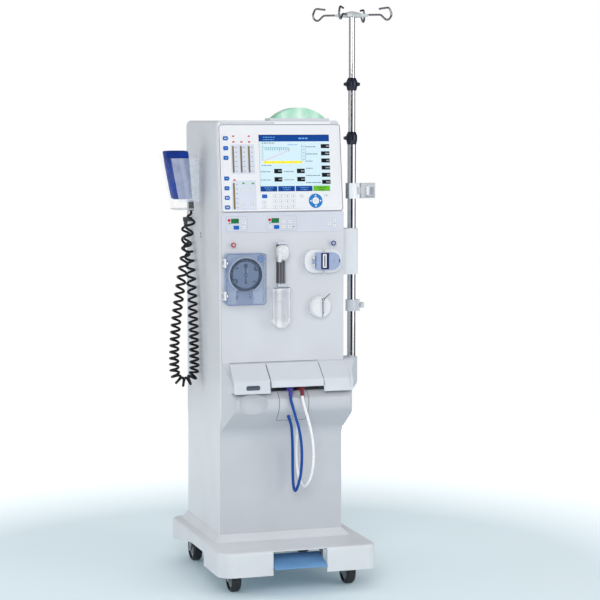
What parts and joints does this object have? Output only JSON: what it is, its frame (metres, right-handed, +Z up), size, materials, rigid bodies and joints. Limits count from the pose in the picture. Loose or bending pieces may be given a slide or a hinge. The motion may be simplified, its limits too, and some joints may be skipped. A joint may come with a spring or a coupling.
{
  "type": "dialysis machine",
  "caption": "Upright dialysis machine on a four-castor base, with a leaning monitor, blood pump, syringe pump, sensors, telescopic infusion pole and cuff pocket.",
  "frame": {"origin": "on the floor under the middle of the machine's length and width", "axes": "+X to the machine's left hand side as seen by the operator's right, +Y to its rear, +Z up"},
  "size_m": [0.6477, 0.613, 1.7052],
  "materials": {
    "casing": "off-white moulded panel, fine texture",
    "panel": "pale lilac-grey front panel",
    "block": "cool light grey moulding",
    "steel_frame": "grey powder-coated sheet steel",
    "chrome_tube": "polished tube",
    "hook_steel": "stainless wire and hub",
    "black_plastic": "black moulded clamp collar",
    "grey_plastic": "mid-grey moulding",
    "dark_plastic": "dark slate moulding",
    "white_plastic": "white glossy moulding",
    "tyre": "black castor tread",
    "fork": "grey castor fork",
    "pedal": "steel-blue ribbed pedal",
    "lamp": "mint translucent lens",
    "screen": "screen with coloured fields",
    "key_blue": "bright blue ring key",
    "door_clear": "slate-blue translucent cover",
    "clear": "clear moulded plastic",
    "teal": "teal latch",
    "cuff_cloth": "royal-blue woven nylon",
    "hose_black": "black coiled hose",
    "tube_blue": "blue silicone tube",
    "tube_white": "milky clear tube"
  },
  "bodies": {
    "frame": {"base_cover": "casing", "base_frame": "steel_frame", "block_cover": "block", "chassis_plate": "steel_frame", "control_strip": "panel", "cuff": "cuff_cloth", "cuff_hose": "hose_black", "cuff_pocket": "clear", "detector_body": "white_plastic", "display": "screen", "front_panel": "panel", "guide_rods": "hook_steel", "hose_ports": "grey_plastic", "hydraulics_unit": "steel_frame", "insert_panel": "block", "key_panel": "panel", "lamp_dome": "lamp", "level_sensor": "white_plastic", "monitor_bezel": "casing", "pole_bracket": "casing", "pole_lower": "chrome_tube", "pump_housing": "dark_plastic", "pump_motor": "steel_frame", "rear_cover": "casing", "rinse_connectors": "dark_plastic", "rinse_tube_blue": "tube_blue", "rinse_tube_clear": "tube_white", "shoulder_cover": "casing", "side_shell_left": "casing", "side_shell_right": "casing", "syringe_cup": "clear", "top_cover": "casing"},
    "pedal": {"brake_pedal": "pedal"},
    "ring_key": {"arrow_ring": "key_blue"},
    "lid_left": {"left_lid": "casing"},
    "flap_centre": {"centre_flap": "casing"},
    "rotor": {"pump_rotor": "grey_plastic"},
    "roller_upper": {"pump_roller_upper": "white_plastic"},
    "roller_lower": {"pump_roller_lower": "white_plastic"},
    "door": {"pump_door": "door_clear"},
    "latch": {"door_latch": "teal"},
    "carriage": {"plunger_carriage": "white_plastic"},
    "detector_lid": {"detector_flap": "door_clear"},
    "lever": {"level_lever": "hook_steel"},
    "mast_middle": {"pole_middle": "chrome_tube"},
    "mast_upper": {"pole_upper": "hook_steel"},
    "collar_low": {"collar_lower": "black_plastic"},
    "collar_high": {"collar_upper": "black_plastic"},
    "clamp_ring": {"holder_clamp": "white_plastic"},
    "clamp_arm": {"holder_arm": "grey_plastic"},
    "rail_clamp": {"thumb_clamp": "grey_plastic"},
    "rail_screw": {"thumb_screw": "grey_plastic"},
    "castor_front_left": {"castor_fork_front_left": "fork"},
    "roll_front_left": {"wheel_front_left": "tyre"},
    "castor_front_right": {"castor_fork_front_right": "fork"},
    "roll_front_right": {"wheel_front_right": "tyre"},
    "castor_rear_left": {"castor_fork_rear_left": "fork"},
    "roll_rear_left": {"wheel_rear_left": "tyre"},
    "castor_rear_right": {"castor_fork_rear_right": "fork"},
    "roll_rear_right": {"wheel_rear_right": "tyre"}
  },
  "joints": [
    {"name": "swivel_front_left", "type": "hinge", "parent": "frame", "child": "castor_front_left", "pos_m": [-0.176, -0.225, 0.1], "axis": [0, 0, 1], "continuous": true},
    {"name": "roll_front_left", "type": "hinge", "parent": "castor_front_left", "child": "roll_front_left", "pos_m": [-0.176, -0.207, 0.04], "axis": [1, 0, 0], "continuous": true},
    {"name": "swivel_front_right", "type": "hinge", "parent": "frame", "child": "castor_front_right", "pos_m": [0.176, -0.225, 0.1], "axis": [0, 0, 1], "continuous": true},
    {"name": "roll_front_right", "type": "hinge", "parent": "castor_front_right", "child": "roll_front_right", "pos_m": [0.176, -0.207, 0.04], "axis": [1, 0, 0], "continuous": true},
    {"name": "swivel_rear_left", "type": "hinge", "parent": "frame", "child": "castor_rear_left", "pos_m": [-0.176, 0.215, 0.1], "axis": [0, 0, 1], "continuous": true},
    {"name": "roll_rear_left", "type": "hinge", "parent": "castor_rear_left", "child": "roll_rear_left", "pos_m": [-0.176, 0.233, 0.04], "axis": [1, 0, 0], "continuous": true},
    {"name": "swivel_rear_right", "type": "hinge", "parent": "frame", "child": "castor_rear_right", "pos_m": [0.176, 0.215, 0.1], "axis": [0, 0, 1], "continuous": true},
    {"name": "roll_rear_right", "type": "hinge", "parent": "castor_rear_right", "child": "roll_rear_right", "pos_m": [0.176, 0.233, 0.04], "axis": [1, 0, 0], "continuous": true},
    {"name": "pedal_tilt", "type": "hinge", "parent": "frame", "child": "pedal", "pos_m": [0, -0.226, 0.098], "axis": [1, 0, 0], "range_deg": [0, 12], "stiffness_Nm_per_rad": 40, "springref_deg": -5.73},
    {"name": "ring_key_press", "type": "slide", "parent": "frame", "child": "ring_key", "axis": [0, 0.9914, -0.1305], "range_m": [0, 0.0008], "stiffness_N_per_m": 900},
    {"name": "lid_left_hinge", "type": "hinge", "parent": "frame", "child": "lid_left", "pos_m": [-0.11, -0.1343, 0.655], "axis": [-1, 0, 0], "range_deg": [0, 85]},
    {"name": "flap_centre_hinge", "type": "hinge", "parent": "frame", "child": "flap_centre", "pos_m": [0.026, -0.1343, 0.655], "axis": [-1, 0, 0], "range_deg": [0, 85]},
    {"name": "rotor_spin", "type": "hinge", "parent": "frame", "child": "rotor", "pos_m": [-0.121, -0.14, 0.922], "axis": [0, 1, 0], "continuous": true},
    {"name": "roller_upper_spin", "type": "hinge", "parent": "rotor", "child": "roller_upper", "pos_m": [-0.08809, -0.147, 0.941], "axis": [0, 1, 0], "continuous": true},
    {"name": "roller_lower_spin", "type": "hinge", "parent": "rotor", "child": "roller_lower", "pos_m": [-0.15391, -0.147, 0.903], "axis": [0, 1, 0], "continuous": true},
    {"name": "door_hinge", "type": "hinge", "parent": "frame", "child": "door", "pos_m": [-0.185, -0.146, 0.91], "axis": [0, 0, -1], "range_deg": [0, 110]},
    {"name": "latch_turn", "type": "hinge", "parent": "door", "child": "latch", "pos_m": [-0.079, -0.166, 0.97], "axis": [0, 1, 0], "range_deg": [-90, 90]},
    {"name": "carriage_slide", "type": "slide", "parent": "frame", "child": "carriage", "axis": [0, 0, 1], "range_m": [-0.064, 0]},
    {"name": "detector_lid_hinge", "type": "hinge", "parent": "frame", "child": "detector_lid", "pos_m": [0.088, -0.153, 0.957], "axis": [0, 0, -1], "range_deg": [0, 110]},
    {"name": "lever_swing", "type": "hinge", "parent": "frame", "child": "lever", "pos_m": [0.117, -0.154, 0.843], "axis": [0, 1, 0], "range_deg": [-40, 30]},
    {"name": "mast_middle_slide", "type": "slide", "parent": "frame", "child": "mast_middle", "axis": [0, 0, 1], "range_m": [-0.12, 0.25]},
    {"name": "mast_upper_slide", "type": "slide", "parent": "mast_middle", "child": "mast_upper", "axis": [0, 0, 1], "range_m": [-0.165, 0.08]},
    {"name": "collar_low_turn", "type": "hinge", "parent": "frame", "child": "collar_low", "pos_m": [0.232, -0.075, 1.318], "axis": [0, 0, 1], "range_deg": [-45, 45]},
    {"name": "collar_high_turn", "type": "hinge", "parent": "mast_middle", "child": "collar_high", "pos_m": [0.232, -0.075, 1.478], "axis": [0, 0, 1], "range_deg": [-45, 45]},
    {"name": "clamp_ring_swivel", "type": "hinge", "parent": "frame", "child": "clamp_ring", "pos_m": [0.232, -0.075, 1.161], "axis": [0, 0, 1], "range_deg": [-60, 60]},
    {"name": "clamp_arm_hinge", "type": "hinge", "parent": "clamp_ring", "child": "clamp_arm", "pos_m": [0.253, -0.075, 1.161], "axis": [0, 0, 1], "range_deg": [-60, 60]},
    {"name": "rail_clamp_slide", "type": "slide", "parent": "frame", "child": "rail_clamp", "axis": [0, 0, 1], "range_m": [-0.1, 0.06]},
    {"name": "rail_screw_turn", "type": "hinge", "parent": "rail_clamp", "child": "rail_screw", "pos_m": [0.26, -0.075, 0.817], "axis": [1, 0, 0], "continuous": true}
  ]
}
